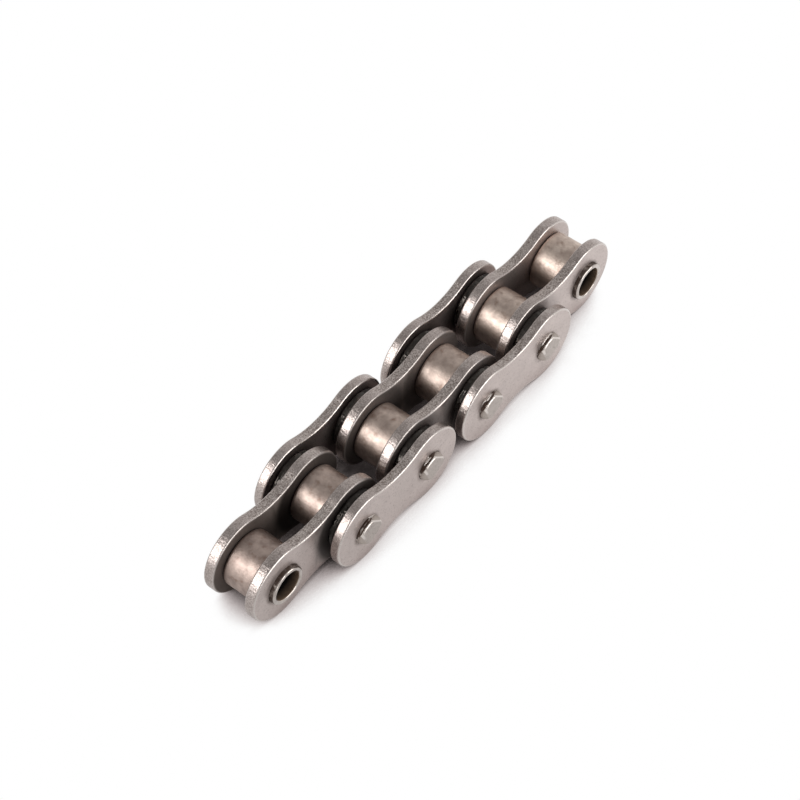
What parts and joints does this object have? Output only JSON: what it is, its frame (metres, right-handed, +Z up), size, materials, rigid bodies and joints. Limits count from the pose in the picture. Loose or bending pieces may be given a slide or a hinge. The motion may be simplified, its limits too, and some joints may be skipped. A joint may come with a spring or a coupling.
{
  "type": "roller chain",
  "caption": "Short straight length of ring-sealed roller chain with waisted plates, free rollers and staked pins; both ends are open roller links that take a connecting pin.",
  "frame": {"origin": "middle of the chain's length and width, at the level of the plates' lowest edges, on which the chain stands", "axes": "+X along the chain towards its right end, +Y along the pins towards the back, +Z up"},
  "size_m": [0.0936, 0.0196, 0.0142],
  "materials": {
    "plate_steel": "satin blanked steel with burnished edges",
    "bush_steel": "ground steel with polished ends",
    "roller_steel": "tumbled, heat-tinted steel",
    "pin_steel": "ground steel, staked ends",
    "seal_rubber": "greased black rubber"
  },
  "bodies": {
    "left_roller_link": {"inner_plate_left_front": "plate_steel", "inner_plate_left_back": "plate_steel", "bush_1": "bush_steel", "bush_2": "bush_steel", "seal_2_front": "seal_rubber", "seal_2_back": "seal_rubber"},
    "middle_roller_link": {"inner_plate_middle_front": "plate_steel", "inner_plate_middle_back": "plate_steel", "bush_3": "bush_steel", "bush_4": "bush_steel", "seal_3_front": "seal_rubber", "seal_3_back": "seal_rubber", "seal_4_front": "seal_rubber", "seal_4_back": "seal_rubber"},
    "right_roller_link": {"inner_plate_right_front": "plate_steel", "inner_plate_right_back": "plate_steel", "bush_5": "bush_steel", "bush_6": "bush_steel", "seal_5_front": "seal_rubber", "seal_5_back": "seal_rubber"},
    "left_pin_link": {"outer_plate_left_front": "plate_steel", "outer_plate_left_back": "plate_steel", "pin_2": "pin_steel", "pin_3": "pin_steel"},
    "right_pin_link": {"outer_plate_right_front": "plate_steel", "outer_plate_right_back": "plate_steel", "pin_4": "pin_steel", "pin_5": "pin_steel"},
    "roller_1": {"roller_1": "roller_steel"},
    "roller_2": {"roller_2": "roller_steel"},
    "roller_3": {"roller_3": "roller_steel"},
    "roller_4": {"roller_4": "roller_steel"},
    "roller_5": {"roller_5": "roller_steel"},
    "roller_6": {"roller_6": "roller_steel"}
  },
  "joints": [
    {"name": "fold_3", "type": "hinge", "parent": "middle_roller_link", "child": "left_pin_link", "pos_m": [-0.00794, 0, 0.0071], "axis": [0, 1, 0], "range_deg": [-60, 60]},
    {"name": "fold_2", "type": "hinge", "parent": "left_pin_link", "child": "left_roller_link", "pos_m": [-0.02381, 0, 0.0071], "axis": [0, 1, 0], "range_deg": [-60, 60]},
    {"name": "fold_4", "type": "hinge", "parent": "middle_roller_link", "child": "right_pin_link", "pos_m": [0.00794, 0, 0.0071], "axis": [0, -1, 0], "range_deg": [-60, 60]},
    {"name": "fold_5", "type": "hinge", "parent": "right_pin_link", "child": "right_roller_link", "pos_m": [0.02381, 0, 0.0071], "axis": [0, -1, 0], "range_deg": [-60, 60]},
    {"name": "roller_1_spin", "type": "hinge", "parent": "left_roller_link", "child": "roller_1", "pos_m": [-0.03969, 0, 0.0071], "axis": [0, 1, 0], "continuous": true},
    {"name": "roller_2_spin", "type": "hinge", "parent": "left_roller_link", "child": "roller_2", "pos_m": [-0.02381, 0, 0.0071], "axis": [0, 1, 0], "continuous": true},
    {"name": "roller_3_spin", "type": "hinge", "parent": "middle_roller_link", "child": "roller_3", "pos_m": [-0.00794, 0, 0.0071], "axis": [0, 1, 0], "continuous": true},
    {"name": "roller_4_spin", "type": "hinge", "parent": "middle_roller_link", "child": "roller_4", "pos_m": [0.00794, 0, 0.0071], "axis": [0, 1, 0], "continuous": true},
    {"name": "roller_5_spin", "type": "hinge", "parent": "right_roller_link", "child": "roller_5", "pos_m": [0.02381, 0, 0.0071], "axis": [0, 1, 0], "continuous": true},
    {"name": "roller_6_spin", "type": "hinge", "parent": "right_roller_link", "child": "roller_6", "pos_m": [0.03969, 0, 0.0071], "axis": [0, 1, 0], "continuous": true}
  ]
}
